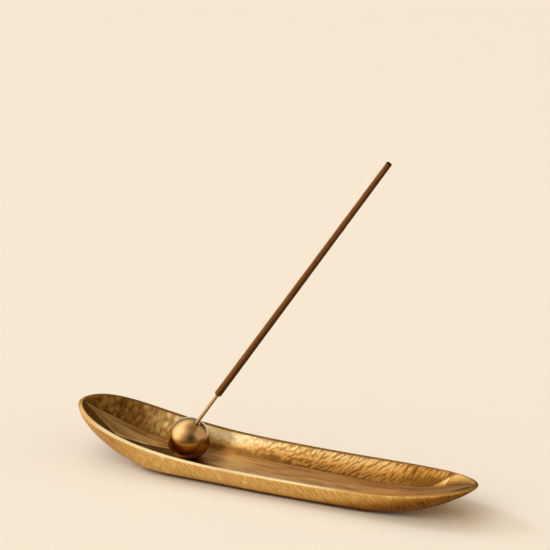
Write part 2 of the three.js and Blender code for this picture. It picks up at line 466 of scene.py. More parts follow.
def tray_outside(settings):
    """Satin brass, filed with a close slanting hatch along the hull's sides. Painted shade darkens
    the side towards the fine tip, a band along the hull's foot, and the rounding under the rim on
    the far side, as on the rim."""
    material, shader = new_material("hatched brass")
    place = shader.place()
    x, y, z = shader.parts(place)
    _, across, _ = shader.parts(shader.across_surface())
    rows = BOTTOM_ROWS + SIDE_ROWS + ROUND_ROWS
    row = (across - 0.5).size() * 2 * rows
    up_side = (row - BOTTOM_ROWS) / SIDE_ROWS
    rounded = row.over(rows - ROUND_ROWS, rows - ROUND_ROWS + 0.6)
    slanted = shader.turned(place, (0, math.radians(32), 0))
    fine = shader.noise(shader.scaled(slanted, 3800, 160, 260), 1.0, 3, 0.65)
    broad = shader.noise(shader.scaled(slanted, 1100, 90, 130), 1.0, 2, 0.55)
    hatch = fine * 0.65 + broad * 0.35
    cloud = shader.noise(place, 45, 3, 0.55)
    # Painted shade: the side darkens towards the fine tip, reaching further back low down.
    painted_tip_shade = (x + (1 - up_side) * 0.095).over(0.062, 0.124)
    on_side = row.over(BOTTOM_ROWS - 0.3, BOTTOM_ROWS + 0.03)
    # Painted shade: a dark band along the foot of the hull's side.
    bottom = z.over(0.0034, 0.0016)
    age_and_shade = 0.06 + hatch.over(0.64, 0.38) * 0.34 + cloud.over(0.3, 0.7) * 0.06
    age_and_shade = age_and_shade + x.over(-0.07, -0.1) * 0.17
    age_and_shade = age_and_shade + (painted_tip_shade * 0.62 + bottom * 0.9) * on_side + (1 - on_side) * 0.25
    # Painted shade on the rounding under the rim, on the far side.
    age_and_shade = age_and_shade.blend(0.8, rounded * far_side(y))
    colour = aged_brass(shader, age_and_shade, settings, (1, 0.93, 0.72))
    normal = shader.bump(hatch * (1 - rounded), 0.0002)
    brass_surface(shader, colour, 0.28 + age_and_shade * 0.1, normal, (1 - age_and_shade.over(0.3, 0.9)) * 0.05)
    return material


def tray_rim(settings):
    """Rubbed bright along the near side. Painted shade browns the far side and darkens the tips."""
    material, shader = new_material("rubbed brass")
    place = shader.place()
    x, y, _ = shader.parts(place)
    scratches = shader.noise(shader.scaled(place, 60, 900, 900), 1.0, 3, 0.6)
    far = far_side(y)
    # Painted shade: darker at the tips and brown along the far side.
    tips = x.over(0.025, 0.08) * 0.6 + x.over(-0.095, -0.115) * 0.3
    age_and_shade = 0.04 + scratches.over(0.55, 0.8) * 0.15 + tips * (1 - far) + far * 0.8
    colour = aged_brass(shader, age_and_shade, settings)
    normal = shader.bump(scratches, 0.00003)
    brass_surface(shader, colour, 0.26 + scratches * 0.1, normal, (1 - age_and_shade.over(0, 0.8)) * 0.4)
    return material


def tray_inside(settings):
    """Hammered walls, darker towards their foot, and a floor brushed along the boat, whose lines
    run together at the tips. Some patches stand in for light and mirrored things that the photo
    shows there: paler and rougher beside the ball, darker round its foot, on the near wall, and
    along the far lip."""
    material, shader = new_material("hammered brass")
    sheet = shader.across_surface()
    _, across, _ = shader.parts(sheet)
    place = shader.place()
    x, y, _ = shader.parts(place)
    floor_share = 0.5 * FLOOR_ROWS / (FLOOR_ROWS + WALL_ROWS)
    up_wall = ((across - 0.5).size() - floor_share) / (0.5 - floor_share)
    wall = up_wall.over(-0.005, 0.02)
    near_side = y.over(0.002, -0.002)
    struck = shader.add("ShaderNodeAttribute", {"attribute_name": "struck"})["Fac"]

    streaks = shader.noise(shader.scaled(sheet, 7, 34, 1), 1.0, 4, 0.6, 0.6)
    fine = shader.noise(shader.scaled(sheet, 26, 240, 1), 1.0, 3, 0.55)
    behind_ball = x.over(-0.066, -0.08)
    painted_shade_round_foot = ((x - BALL_X) ** 2 + (y + 0.004) ** 2).over(0.0007, 0.0002)
    # Painted shade on the floor: darker towards the far side, behind the ball, round the ball's
    # foot and on the near side of the crease line, which carries a painted highlight.
    floor_age_and_shade = (
        0.17 + y * 10 + streaks.over(0.38, 0.64) * 0.36 + fine.over(0.36, 0.7) * 0.2
        + x.over(0.0, 0.04) * 0.03 + behind_ball * 0.04 + painted_shade_round_foot * 0.4 + painted_crease_shade(x, y) * 0.6)

    grain = shader.noise(place, 1300, 3, 0.6)
    cloud = shader.noise(place, 150, 4, 0.6)
    upright = shader.noise(shader.scaled(sheet, 160, 9, 1), 1.0, 3, 0.55, 0.5)
    in_use = x.over(-0.064, -0.058)
    # Painted light: a paler patch on the walls just right of the ball, where the marks are also
    # fainter.
    painted_light_beside_ball = x.over(-0.058, -0.048) * x.over(-0.005, -0.032)
    wavy = up_wall + (cloud - 0.5) * 0.16
    # Darker down the wall towards the cove. The paler patch beside the ball is painted light, and
    # the darkening towards the fine end is painted shade.
    main_age_and_shade = (
        0.3 + wavy.over(0.95, 0.32) * 0.6 - painted_light_beside_ball * wavy.over(0.35, 0.6) * 0.3
        + x.over(0.045, 0.07) * 0.1 + x.over(0.068, 0.088) * up_wall * 0.45
        - x.over(0.03, 0.0) * 0.05 - x.over(0.012, -0.015) * wavy.over(0.6, 0.3) * 0.12)
    beyond = (x - up_wall * 0.016).over(0.0925, 0.0955)
    tip_age = 0.22 + up_wall.over(0.75, 0.1) * 0.34 + fine.over(0.36, 0.7) * 0.3
    main_age_and_shade = main_age_and_shade.blend(tip_age, beyond)
    end_age = 0.08 + x.over(-0.07, -0.105) * 0.42 + (1 - up_wall) * 0.36
    end_age = end_age + upright.over(0.35, 0.68) * 0.26
    # Painted shade: a brown line along the far lip.
    lip = up_wall.over(0.955, 0.985) * y.over(0, 0.002)
    marks = (0.45 - struck) * 0.3 * (1 - painted_light_beside_ball * 0.6)
    wall_age_and_shade = end_age.blend(main_age_and_shade, in_use)
    wall_age_and_shade = wall_age_and_shade + marks + cloud.over(0.35, 0.7) * 0.12 - 0.05
    # Painted shade on the near wall: a little darker all along, dark towards the fine end and
    # nearly black at the blunt end.
    painted_near_shade = near_side * x.over(-0.05, -0.066)
    wall_age_and_shade = wall_age_and_shade + near_side * (0.06 + x.over(0.055, 0.08) * 0.5)
    wall_age_and_shade = wall_age_and_shade.blend(0.92, painted_near_shade).blend(0.85, lip)

    age_and_shade = floor_age_and_shade.blend(wall_age_and_shade, wall)
    colour = aged_brass(shader, age_and_shade, settings)
    colour = shader.mix((1 - wall) * in_use * 0.3, colour, settings.dust)
    floor_height = streaks * 0.7 + fine * 0.3
    wall_height = cloud * 0.4 + grain * 0.12
    normal = shader.bump(floor_height.blend(wall_height, wall), 0.0002)
    roughness = 0.34 * (1 - wall) + 0.24 * wall + age_and_shade.over(0.2, 1) * 0.1
    level_with_ball = (x + 0.047).size().over(0.015, 0.005)
    roughness = roughness + level_with_ball * wall * 0.4 + near_side * wall * 0.3
    brass_surface(shader, colour, roughness, normal, (1 - age_and_shade.over(0.3, 0.9)) * 0.15)
    return material


def painted_crease_shade(x, y):
    """Painted shade along the near edge of the blunt end's floor, with a thin painted highlight on
    it: a line that swings in to the middle at the tip.
    """
    line = x * 0.41 + 0.0317
    # Painted shade on the near side of the line.
    grime_and_shade = (y - line).over(0.0001, -0.0004)
    # Painted highlight along the line.
    painted_highlight_line = (y - line - 0.0005).size().over(0.0007, 0.0001)
    return (grime_and_shade - painted_highlight_line * 0.5) * x.over(-0.06, -0.068)


def polished_brass(settings):
    """The ball: a bright polish with handling haze and hairline scratches. The brown below a line
    above its middle stands in for the tray that the photo's ball mirrors there."""
    material, shader = new_material("polished brass")
    place = shader.place()
    haze = shader.noise(place, 160, 3, 0.55)
    hairs = shader.noise(
        shader.scaled(shader.turned(place, (0.4, 0.7, 0.2)), 300, 4000, 4000), 1.0, 2, 0.5)
    _, _, z = shader.parts(place)
    mirroring = (z + haze * 0.002).over(BALL_Z + 0.0066, BALL_Z + 0.0046)
    # Film: the painted reflection below the line, plus a faint haze that is real handling wear.
    film = mirroring * 0.8 + haze.over(0.5, 0.8) * 0.12
    colour = shader.mix(film, settings.brass, settings.foot)
    roughness = settings.polish + film * 0.08 + hairs * 0.02
    normal = shader.bump(hairs, 0.000004)
    brass_surface(shader, colour, roughness, normal, 0.8 - mirroring * 0.75, 2.1)
    return material


def screw_brass(settings):
    """Turned brass: rings round the head, duller in the slot."""
    material, shader = new_material("turned brass")
    x, y, z = shader.parts(shader.moved(shader.place(), (-BALL_X, 0, 0)))
    radius = (x * x + y * y) ** 0.5
    rings = shader.noise(shader.add(
        "ShaderNodeCombineXYZ", {}, {"X": radius * 6000, "Y": z * 6000})["Vector"], 1.0, 2, 0.5)
    dull = shader.noise(shader.place(), 900, 3, 0.5).over(0.4, 0.7) * 0.5
    colour = shader.mix(dull, settings.brass, settings.tarnish)
    normal = shader.bump(rings, 0.00001)
    brass_surface(shader, colour, 0.24 + dull * 0.2, normal, (1 - dull) * 0.3)
    return material


def along_stick(shader, across, along):
    """Object coordinates turned so that Z runs up the stick, then stretched."""
    upright = shader.turned(shader.place(), (0, -STICK_TURN, 0))
    return shader.scaled(upright, across, across, along)


def stick_parts(shader):
    """How far a point lies from the stick's axis towards its underside, and how far up it."""
    across = BALL_MIDDLE.x * math.cos(STICK_TURN) - BALL_MIDDLE.z * math.sin(STICK_TURN)
    centred = shader.moved(along_stick(shader, 1, 1), (HOLE_OFFSET - across, 0, 0))
    underside, _, up = shader.parts(centred)
    return underside, up


def bare_bamboo(settings):
    """Split bamboo: pale, with long fibres and a few darker ones. Its underside is painted dark
    for the shade that the photo shows there."""
    material, shader = new_material("split bamboo")
    bamboo = settings.bamboo
    fibres = shader.noise(along_stick(shader, 3200, 60), 1.0, 4, 0.65)
    patches = shader.noise(along_stick(shader, 500, 70), 1.0, 3, 0.5)
    underside, _ = stick_parts(shader)
    colour = shader.mix(fibres.over(0.35, 0.7), dyed(bamboo, 0.62), bamboo)
    colour = shader.mix(patches.over(0.5, 0.85) * 0.5, colour, dyed(bamboo, 0.5))
    colour = shader.mix(underside.over(0.0, 0.0006) * 0.85, colour, dyed(bamboo, 0.2, 0.12, 0.07))
    normal = shader.bump(fibres, 0.00006)
    matt_surface(shader, colour, 0.5 + fibres * 0.15, 0.4, Normal=normal)
    return material


def incense_paste(settings):
    """Dried wood paste: matt brown, mealy, with faint streaks from rolling and drawing, and dark
    at its top end. Its underside is painted darker and its upper side lighter, for the light and
    shade that the photo shows there."""
    material, shader = new_material("incense paste")
    meal = shader.noise(shader.place(), 2600, 4, 0.65)
    streaks = shader.noise(along_stick(shader, 1500, 120), 1.0, 3, 0.6)
    blotches = shader.noise(shader.place(), 220, 3, 0.55)
    underside, up = stick_parts(shader)
    dark = dyed(settings.paste, 0.55)
    light = [min(1, part) for part in dyed(settings.paste, 1.45)]
    colour = shader.mix(streaks.over(0.35, 0.7), dark, settings.paste)
    colour = shader.mix(meal.over(0.5, 0.75) * 0.6, colour, light)
    colour = shader.mix(blotches.over(0.5, 0.8) * 0.4, colour, dark)
    colour = shader.mix(underside.over(-0.0002, 0.0014) * 0.85, colour, dyed(dark, 0.35))
    colour = shader.mix(underside.over(-0.0004, -0.0016) * 0.6, colour, light)
    top = STICK_AXIS.dot(BALL_MIDDLE) + HOLE_MOUTH + BARE_LENGTH + COAT_LENGTH
    colour = shader.mix(up.over(top - 0.0006, top - 0.0002), colour, dyed(dark, 0.2))
    normal = shader.bump(meal * 0.6 + streaks * 0.4, 0.00009)
    matt_surface(shader, colour, 0.62 + meal * 0.2, 0.12, Normal=normal)
    return material


def deselect_all():
    active = bpy.context.object
    if active and active.mode != "OBJECT":
        bpy.ops.object.mode_set(mode="OBJECT")
    bpy.ops.object.select_all(action="DESELECT")


def choose(*objects):
    """These objects alone are selected, the last one active."""
    deselect_all()
    for obj in objects:
        obj.select_set(True)
        bpy.context.view_layer.objects.active = obj


def edit(obj, kind="VERT", choice="DESELECT"):
    """Edit mode on one object, with nothing selected, or with all of it for the choice SELECT."""
    choose(obj)
    bpy.ops.object.mode_set(mode="EDIT")
    bpy.ops.mesh.select_mode(type=kind)
    bpy.ops.mesh.select_all(action=choice)


def pick(obj, numbers):
    """Selects the numbered corners alone."""
    mesh = bmesh.from_edit_mesh(obj.data)
    mesh.verts.ensure_lookup_table()
    bpy.ops.mesh.select_all(action="DESELECT")
    for number in numbers:
        mesh.verts[number].select = True
    mesh.select_flush_mode()
    bmesh.update_edit_mesh(obj.data, loop_triangles=False, destructive=False)


def pick_seam(obj, slots):
    """Selects the edges where faces of two materials meet."""
    bpy.ops.mesh.select_all(action="DESELECT")
    mesh = bmesh.from_edit_mesh(obj.data)
    for line in mesh.edges:
        if {face.material_index for face in line.link_faces} == slots:
            line.select_set(True)
    bmesh.update_edit_mesh(obj.data, loop_triangles=False, destructive=False)


def modify(obj, kind, **settings):
    """Adds a modifier, sets it and applies it."""
    choose(obj)
    bpy.ops.object.modifier_add(type=kind)
    modifier = obj.modifiers[-1]
    for name, setting in settings.items():
        setattr(modifier, name, setting)
    bpy.ops.object.modifier_apply(modifier=modifier.name)


def settle(obj):
    """Puts the object's place and turn into its mesh."""
    choose(obj)
    bpy.ops.object.transform_apply(location=True, rotation=True, scale=True)


def onto_screw_axis(obj):
    obj.location.x = BALL_X
    settle(obj)


def smooth(obj, angle):
    choose(obj)
    bpy.ops.object.shade_smooth_by_angle(angle=math.radians(angle))


def cut(obj, cutter):
    """Cuts one closed body out of another and clears it away."""
    modify(obj, "BOOLEAN", operation="DIFFERENCE", solver="MANIFOLD", object=cutter)
    choose(cutter)
    bpy.ops.object.delete()


def draw_up(name, rings, sides):
    """A disc drawn up ring by ring, from [radius, height] of each ring, round the Z axis."""
    deselect_all()
    radius, height = rings[0]
    bpy.ops.mesh.primitive_circle_add(
        vertices=sides, radius=radius, fill_type="NGON", location=(0, 0, 0))
    body = bpy.context.object
    body.name = name
    bpy.ops.object.mode_set(mode="EDIT")
    bpy.ops.mesh.select_all(action="SELECT")
    bpy.ops.transform.translate(value=(0, 0, height))
    for next_radius, next_height in rings[1:]:
        bpy.ops.mesh.extrude_region_move(
            TRANSFORM_OT_translate={"value": (0, 0, next_height - height)})
        ratio = next_radius / radius
        bpy.ops.transform.resize(value=(ratio, ratio, 1), center_override=(0, 0, next_height))
        radius, height = next_radius, next_height
    bpy.ops.mesh.select_all(action="SELECT")
    bpy.ops.mesh.normals_make_consistent(inside=False)
    deselect_all()
    return body


def finish_piece(piece, body, node, slot, *materials):
    """Its materials, the body that it rides on and the node that it stands for. The slot is not
    used.
    """
    if materials:
        piece.data.materials.clear()
        for material in materials:
            piece.data.materials.append(material)
    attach(piece, body)
    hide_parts(node)


def end_at(s):
    return BLUNT_END if s < 0 else FINE_END


def half_beam(s, amidships):
    """Half the breadth of an outline at s, which is -1 at the blunt tip and 1 at the fine one."""
    end = end_at(s)
    fullness = 1 - TAPER * s + end["swell"] * s * s
    return amidships * fullness * max(0.0, 1 - abs(s) ** end["outline"]) ** end["round"]


def rim_height(s):
    end = end_at(s)
    along = abs(s)
    return RIM_HEIGHT + end["rise"] * along ** end["sheer"] * (1 - end["droop"] * along ** 9)


def climb(s):
    """How far the keel has climbed, 0 on its flat and 1 at a tip."""
    flat_share = end_at(s)["flat"] / HALF_LENGTH
    return max(0.0, (abs(s) - flat_share) / (1 - flat_share))


def keel_height(s):
    end = end_at(s)
    tip = rim_height(math.copysign(1, s))
    return (tip - end["tip_height"]) * climb(s) ** end["keel"]


def floor_height(s):
    end = end_at(s)
    thinner = end["tip_height"] - end["tip_depth"] - FLOOR_THICKNESS
    return keel_height(s) + FLOOR_THICKNESS + thinner * climb(s) ** end["thinning"]


def curve(points, t):
    """The point at t, 0 to 1, of the cubic curve that four points steer."""
    a, b, c, d = (np.array(point) for point in points)
    return (1 - t) ** 3 * a + 3 * (1 - t) ** 2 * t * b + 3 * (1 - t) * t ** 2 * c + t ** 3 * d


def outer_side(s):
    """What steers the outer side's curve, [across, up], from the flat bottom to the rim."""
    beam = half_beam(s, AMIDSHIPS_WIDTH / 2)
    bottom = beam * BOTTOM_SHARE * (1 - BOTTOM_TAPER * (1 - (1 - abs(s)) ** 2))
    keel, rim = keel_height(s), rim_height(s)
    bilge = bottom + BILGE_CORNER * (beam - bottom)
    return (
        (bottom, keel),
        (bottom + BILGE_BOTTOM * (bilge - bottom), keel),
        (beam + BILGE_SIDE * (bilge - beam), rim + BILGE_SIDE * (keel - rim)),
        (beam, rim),
    )


def inner_side(s):
    """The same for the inner wall, from the flat floor up the cove to the rim."""
    beam = half_beam(s, AMIDSHIPS_WIDTH / 2 - WALL)
    end = end_at(s)
    strip = beam * STRIP_SHARE * (1 - end["floor_taper"] * abs(s) ** end["floor_bend"])
    low, high = floor_height(s), rim_height(s) + RIM_TILT
    cove = strip + COVE_CORNER * (beam - strip)
    rise = COVE_SLOPE * min(1, (high - low) / RIM_HEIGHT)
    return (
        (strip, low),
        (strip + COVE_FLOOR * (cove - strip), low + rise),
        (beam + COVE_SIDE * (cove - beam), high + COVE_SIDE * (low - high)),
        (beam, high),
    )


def half_outside(s):
    """Half the outer skin at s, [across, up] from the keel to the rounded edge of the rim."""
    side = outer_side(s)
    bottom = side[0]
    beam, rim = side[3]
    radius = min(RIM_ROUNDING, 0.3 * (rim - bottom[1]), 0.2 * beam)
    points = [(bottom[0] * i / BOTTOM_ROWS, bottom[1]) for i in range(BOTTOM_ROWS)]
    straight = 1 - 0.45 * radius / max(1e-9, rim - bottom[1])
    points += [tuple(curve(side, straight * i / SIDE_ROWS)) for i in range(SIDE_ROWS + 1)]
    for i in range(1, ROUND_ROWS + 1):
        turn = 0.5 * math.pi * i / ROUND_ROWS
        points.append((beam - radius * (1 - math.cos(turn)), rim - radius * (1 - math.sin(turn))))
    return points


def half_inside(s):
    """Half the inner skin at s, from the middle of the floor to the rim."""
    side = inner_side(s)
    strip, low = side[0]
    points = [(strip * i / FLOOR_ROWS, low) for i in range(FLOOR_ROWS)]
    return points + [tuple(curve(side, i / WALL_ROWS)) for i in range(WALL_ROWS + 1)]


def outer_x(s):
    return s * HALF_LENGTH


def inner_x(s):
    return s * (HALF_LENGTH - end_at(s)["tip_wall"])


def stations():
    """Places along the hull, even amidships and crowded towards the tips."""
    places = []
    for i in range(-COLUMNS_PER_END, COLUMNS_PER_END + 1):
        share = abs(i) / COLUMNS_PER_END
        crowded = share - TIP_CLOSENESS * share ** (TIP_CROWDING + 1) / (TIP_CROWDING + 1)
        places.append(math.copysign(crowded / (1 - TIP_CLOSENESS / (TIP_CROWDING + 1)), i))
    return places


def grid_lines(grid, axis):
    """A flat grid's corners in lines across one axis: the place of each line and its corners."""
    lines = {}
    for corner in grid.data.vertices:
        lines.setdefault(round(corner.co[axis], 4), []).append(corner)
    return [(lines[key][0].co[axis], [corner.index for corner in lines[key]])
            for key in sorted(lines)]


def bend_skin(name, half_section, x_at, crease_rows=()):
    """A flat grid bent into a skin of the hull: each of its columns takes the section of its
    station, from rim to rim, and the skin is then subdivided."""
    rows_per_half = len(half_section(0))
    deselect_all()
    bpy.ops.mesh.primitive_grid_add(
        x_subdivisions=2 * COLUMNS_PER_END, y_subdivisions=2 * rows_per_half - 2, size=1,
        calc_uvs=True)
    skin = bpy.context.object
    skin.name = name
    rows = [set(corners) for _, corners in grid_lines(skin, 1)]
    columns = grid_lines(skin, 0)
    edit(skin)
    for number in crease_rows:
        pick(skin, rows[number])
        bpy.ops.transform.edge_crease(value=FOOT_CREASE)
    deselect_all()
    for (_, corners), s in zip(columns, stations()):
        half = half_section(s)
        section = [(-across, up) for across, up in half[:0:-1]] + half
        corners = sorted(corners, key=lambda number: skin.data.vertices[number].co.y)
        for number, (across, up) in zip(corners, section):
            skin.data.vertices[number].co = (x_at(s), across, up)
    edit(skin, choice="SELECT")
    bpy.ops.mesh.remove_doubles(threshold=WELD)
    modify(skin, "SUBSURF", levels=SKIN_LEVELS, render_levels=SKIN_LEVELS)
    return skin


def inner_wall_at(s, up_wall, side):
    """The point on the inner wall, from its foot at 0 to the rim at 1, on the +Y or -Y side."""
    across, up = curve(inner_side(s), up_wall)
    return np.array([inner_x(s), side * across, up])


def mark_sizes(x, rng):
    """Half length, half breadth, slant and depth of a hammer mark: soft dimples at the blunt
    end, faint ones by the ball, round facets amidships and slanting strokes to the fine end."""
    turn = rng.uniform(0, math.pi)
    if x < -0.064:
        return rng.uniform(0.003, 0.004), rng.uniform(0.002, 0.0028), 1.4 + 0.1 * turn, 0.4
    if x < -0.012:
        return rng.uniform(0.002, 0.0028), rng.uniform(0.0015, 0.002), turn, 0.5
    if x < 0.02:
        slant = math.radians(rng.uniform(10, 70))
        return rng.uniform(0.0014, 0.0032), rng.uniform(0.0009, 0.0018), slant, 0.9
    slant = math.radians(rng.uniform(34, 60) + max(0, x - 0.06) * 400)
    return rng.uniform(0.0024, 0.0046), rng.uniform(0.0007, 0.0012), slant, 1.0


def lowest_mark(x):
    """How far up the wall the marks begin: the cove below stays smooth."""
    if x < -0.06:
        return 0.15
    if x < 0.005:
        return 0.42
    return 0.24 if x < 0.05 else 0.1


def hammer(skin, settings):
    """Sinks overlapping hammer marks into both inner walls, each a shallow bowl, and keeps how
    deep in a bowl each corner lies, for the material."""
    rng = np.random.default_rng(settings.seed)
    corners = np.array([corner.co for corner in skin.data.vertices])
    normals = np.array([corner.normal for corner in skin.data.vertices])
    order = np.argsort(corners[:, 0])
    sorted_x = corners[order, 0]
    sunk = np.zeros(len(corners))
    struck = np.zeros(len(corners))
    nudge = 1e-3
    for side in (-1, 1):
        x = MARKS_FROM
        while x < MARKS_TO:
            _, breadth, _, _ = mark_sizes(x, rng)
            step = MARK_STEP * breadth
            low = lowest_mark(x)
            rows = max(FEWEST_ROWS, round(MARKED_WALL * (1 - low) / (ROW_STEP * step)))
            for row in range(rows):
                length, breadth, slant, depth = mark_sizes(x, rng)
                up_wall = low + (1 - low) * (row + rng.uniform(0.1, 0.9)) / rows
                s = (x + rng.uniform(-0.5, 0.5) * step) / (HALF_LENGTH - WALL)
                middle = inner_wall_at(s, up_wall, side)
                along = inner_wall_at(s + nudge, up_wall, side) - middle
                upward = middle - inner_wall_at(s, up_wall - nudge, side)
                along /= np.linalg.norm(along)
                upward /= np.linalg.norm(upward)
                reach = MARK_REACH * length
                first = np.searchsorted(sorted_x, middle[0] - reach)
                last = np.searchsorted(sorted_x, middle[0] + reach)
                near = order[first:last]
                offset = corners[near] - middle
                a = offset @ (math.cos(slant) * along + math.sin(slant) * upward)
                b = offset @ (math.cos(slant) * upward - math.sin(slant) * along)
                bowl = 1 - (a / length) ** 2 - (b / breadth) ** 2
                bowl[np.linalg.norm(offset, axis=1) > reach] = 0
                struck[near] = np.maximum(struck[near], bowl)
                bowl = bowl * depth * settings.mark_depth * rng.uniform(0.6, 1.0)
                sunk[near] = np.maximum(sunk[near], bowl)
            x += step
    corners -= normals * sunk[:, None]
    skin.data.vertices.foreach_set("co", corners.ravel())
    skin.data.attributes.new("struck", "FLOAT", "POINT").data.foreach_set("value", struck)
    skin.data.update()


class BuildTray(bpy.types.Operator):
    """Bend, hammer and join the tray's two skins, round its rim and drill its floor"""

    bl_idname = "incense_holder.tray"
    bl_label = "Boat tray"

    def execute(self, context):
        settings = context.scene.incense_tray
        outer = bend_skin("tray_outer_skin", half_outside, outer_x)
        foot_rows = (WALL_ROWS, WALL_ROWS + 2 * FLOOR_ROWS)
        inner = bend_skin("tray_inner_skin", half_inside, inner_x, foot_rows)
        hammer(inner, settings)
        outer.data.materials.append(tray_outside(settings))
        inner.data.materials.append(tray_inside(settings))
        choose(inner, outer)
        bpy.ops.object.join()
        tray = context.object
        tray.name = "tray_boat"
        tray.data.materials.append(tray_rim(settings))
        self.close_rim(tray, settings)
        self.drill(tray)
        smooth(tray, 38)
        finish_piece(tray, "tray", "boat_tray", "tray_brass")
        return {"FINISHED"}

    def close_rim(self, tray, settings):
        edit(tray, "EDGE")
        bpy.ops.mesh.select_non_manifold()
        bpy.ops.mesh.bridge_edge_loops()
        tray.active_material_index = 2
        bpy.ops.object.material_slot_assign()
        bpy.ops.mesh.select_all(action="SELECT")
        bpy.ops.mesh.normals_make_consistent(inside=False)
        pick_seam(tray, {1, 2})
        bpy.ops.mesh.bevel(
            offset=settings.rim_rounding, segments=RIM_STEPS, profile=RIM_PROFILE, affect="EDGES")
        bpy.ops.object.material_slot_assign()
        deselect_all()

    def drill(self, tray):
        """The screw's countersunk hole, from below, through the floor."""
        edge_top = SCREW_LOW.z + HEAD_EDGE
        head = HEAD_RADIUS + SCREW_CLEARANCE
        shank = SHANK_RADIUS + SCREW_CLEARANCE
        rings = [(head, -OVERSHOOT), (head, edge_top), (shank, edge_top + head - shank),
                 (shank, FLOOR_THICKNESS + OVERSHOOT)]
        cutter = draw_up("screw_hole_cutter", rings, HOLE_SIDES)
        onto_screw_axis(cutter)
        cut(tray, cutter)


class BuildScrew(bpy.types.Operator):
    """Draw up the countersunk screw and cut its slot"""

    bl_idname = "incense_holder.screw"
    bl_label = "Fixing screw"

    def execute(self, context):
        low, high = SCREW_LOW.z, SCREW_HIGH.z
        edge = 0.00012
        point = 0.0006
        edge_top = low + HEAD_EDGE
        cone_top = edge_top + HEAD_RADIUS - SHANK_RADIUS
        rings = [
            (HEAD_RADIUS - edge, low),
            (HEAD_RADIUS, low + edge),
            (HEAD_RADIUS, edge_top),
            (SHANK_RADIUS, cone_top),
            (SHANK_RADIUS, high - point),
            (SHANK_RADIUS - point, high),
        ]
        screw = draw_up("screw_countersunk", rings, HOLE_SIDES)
        onto_screw_axis(screw)
        bpy.ops.mesh.primitive_cube_add(size=1, location=(BALL_X, 0, low))
        slot = context.object
        slot.scale = (4 * HEAD_RADIUS, SLOT_WIDTH, 2 * SLOT_DEPTH)
        settle(slot)
        cut(screw, slot)
        smooth(screw, 30)
        material = screw_brass(context.scene.incense_tray)
        finish_piece(screw, "tray", "fixing_screw", "screw_brass", material)
        return {"FINISHED"}


def onto_hole_axis(obj, up_axis=0.0):
    """Lays an upright body on the hole's axis, its origin this far up from the ball's middle."""
    square_off = Vector((-STICK_AXIS.z, 0, STICK_AXIS.x))
    obj.rotation_euler = (0, STICK_TURN, 0)
    obj.location = BALL_MIDDLE + HOLE_OFFSET * square_off + up_axis * STICK_AXIS
    settle(obj)


class BuildBall(bpy.types.Operator):
    """Round a cube into a ball, grind its seat and drill its two holes"""

    bl_idname = "incense_holder.ball"
    bl_label = "Drilled ball"

    def execute(self, context):
        deselect_all()
        bpy.ops.mesh.primitive_cube_add(size=2 * BALL_RADIUS)
        ball = context.object
        ball.name = "ball_polished"
        edit(ball, choice="SELECT")
        bpy.ops.mesh.subdivide(number_cuts=BALL_CUTS)
        modify(ball, "CAST", cast_type="SPHERE", factor=1, radius=0, size=BALL_RADIUS,
               use_radius_as_size=False)
        ball.location = BALL_MIDDLE
        settle(ball)
        self.grind_seat(ball)
        self.drill_for_stick(ball)
        self.drill_for_screw(ball)
        smooth(ball, 25)
        material = polished_brass(context.scene.incense_ball)
        finish_piece(ball, "ball", "ball_holder", "ball_brass", material)
        return {"FINISHED"}

    def grind_seat(self, ball):
        edit(ball, choice="SELECT")
        bpy.ops.mesh.bisect(
            plane_co=(BALL_X, 0, BALL_LOW.z), plane_no=(0, 0, 1), use_fill=True,
            clear_inner=True, threshold=1e-6)
        deselect_all()

    def drill_for_stick(self, ball):
        mouth = HOLE_MOUTH
        wide = HOLE_RADIUS + 2 * MOUTH_WIDENING
        rings = [
            (HOLE_RADIUS, mouth - HOLE_DEPTH),
            (HOLE_RADIUS, mouth - 1.5 * MOUTH_WIDENING),
            (wide, mouth + 1.5 * MOUTH_WIDENING),
            (wide, mouth + 4 * HOLE_RADIUS),
        ]
        cutter = draw_up("stick_hole_cutter", rings, HOLE_SIDES)
        onto_hole_axis(cutter)
        cut(ball, cutter)

    def drill_for_screw(self, ball):
        radius = SHANK_RADIUS + SCREW_CLEARANCE
        top = SCREW_HIGH.z + SCREW_CLEARANCE
        rings = [(radius, 0), (radius, top), (radius * 0.1, top + radius / 2)]
        cutter = draw_up("thread_hole_cutter", rings, 48)
        onto_screw_axis(cutter)
        cut(ball, cutter)


def roughen(obj, radius_at, depth, across, along, seed):
    """Sinks an upright round body's surface by a smooth seeded unevenness, a sum of waves round
    and along it."""
    rng = np.random.default_rng(seed)
    count = 24
    waves = rng.uniform(0.35, 1, (count, 1)) * np.column_stack([
        rng.integers(1, across, count), rng.uniform(-along, along, count),
        rng.uniform(0, 6.3, count)])
    for corner in obj.data.vertices:
        radius = math.hypot(corner.co.x, corner.co.y)
        if radius < 0.5 * radius_at:
            continue
        angle = math.atan2(corner.co.y, corner.co.x)
        swell = sum(
            math.sin(round(around) * angle + up * corner.co.z + phase)
            for around, up, phase in waves) / count
        ratio = 1 - depth / radius * (0.5 + max(-0.5, min(0.5, 1.5 * swell)))
        corner.co.x *= ratio
        corner.co.y *= ratio
    obj.data.update()


def even_rings(low_radius, high_radius, low, high, count):
    return [
        (low_radius + (high_radius - low_radius) * i / count, low + (high - low) * i / count)
        for i in range(count + 1)
    ]


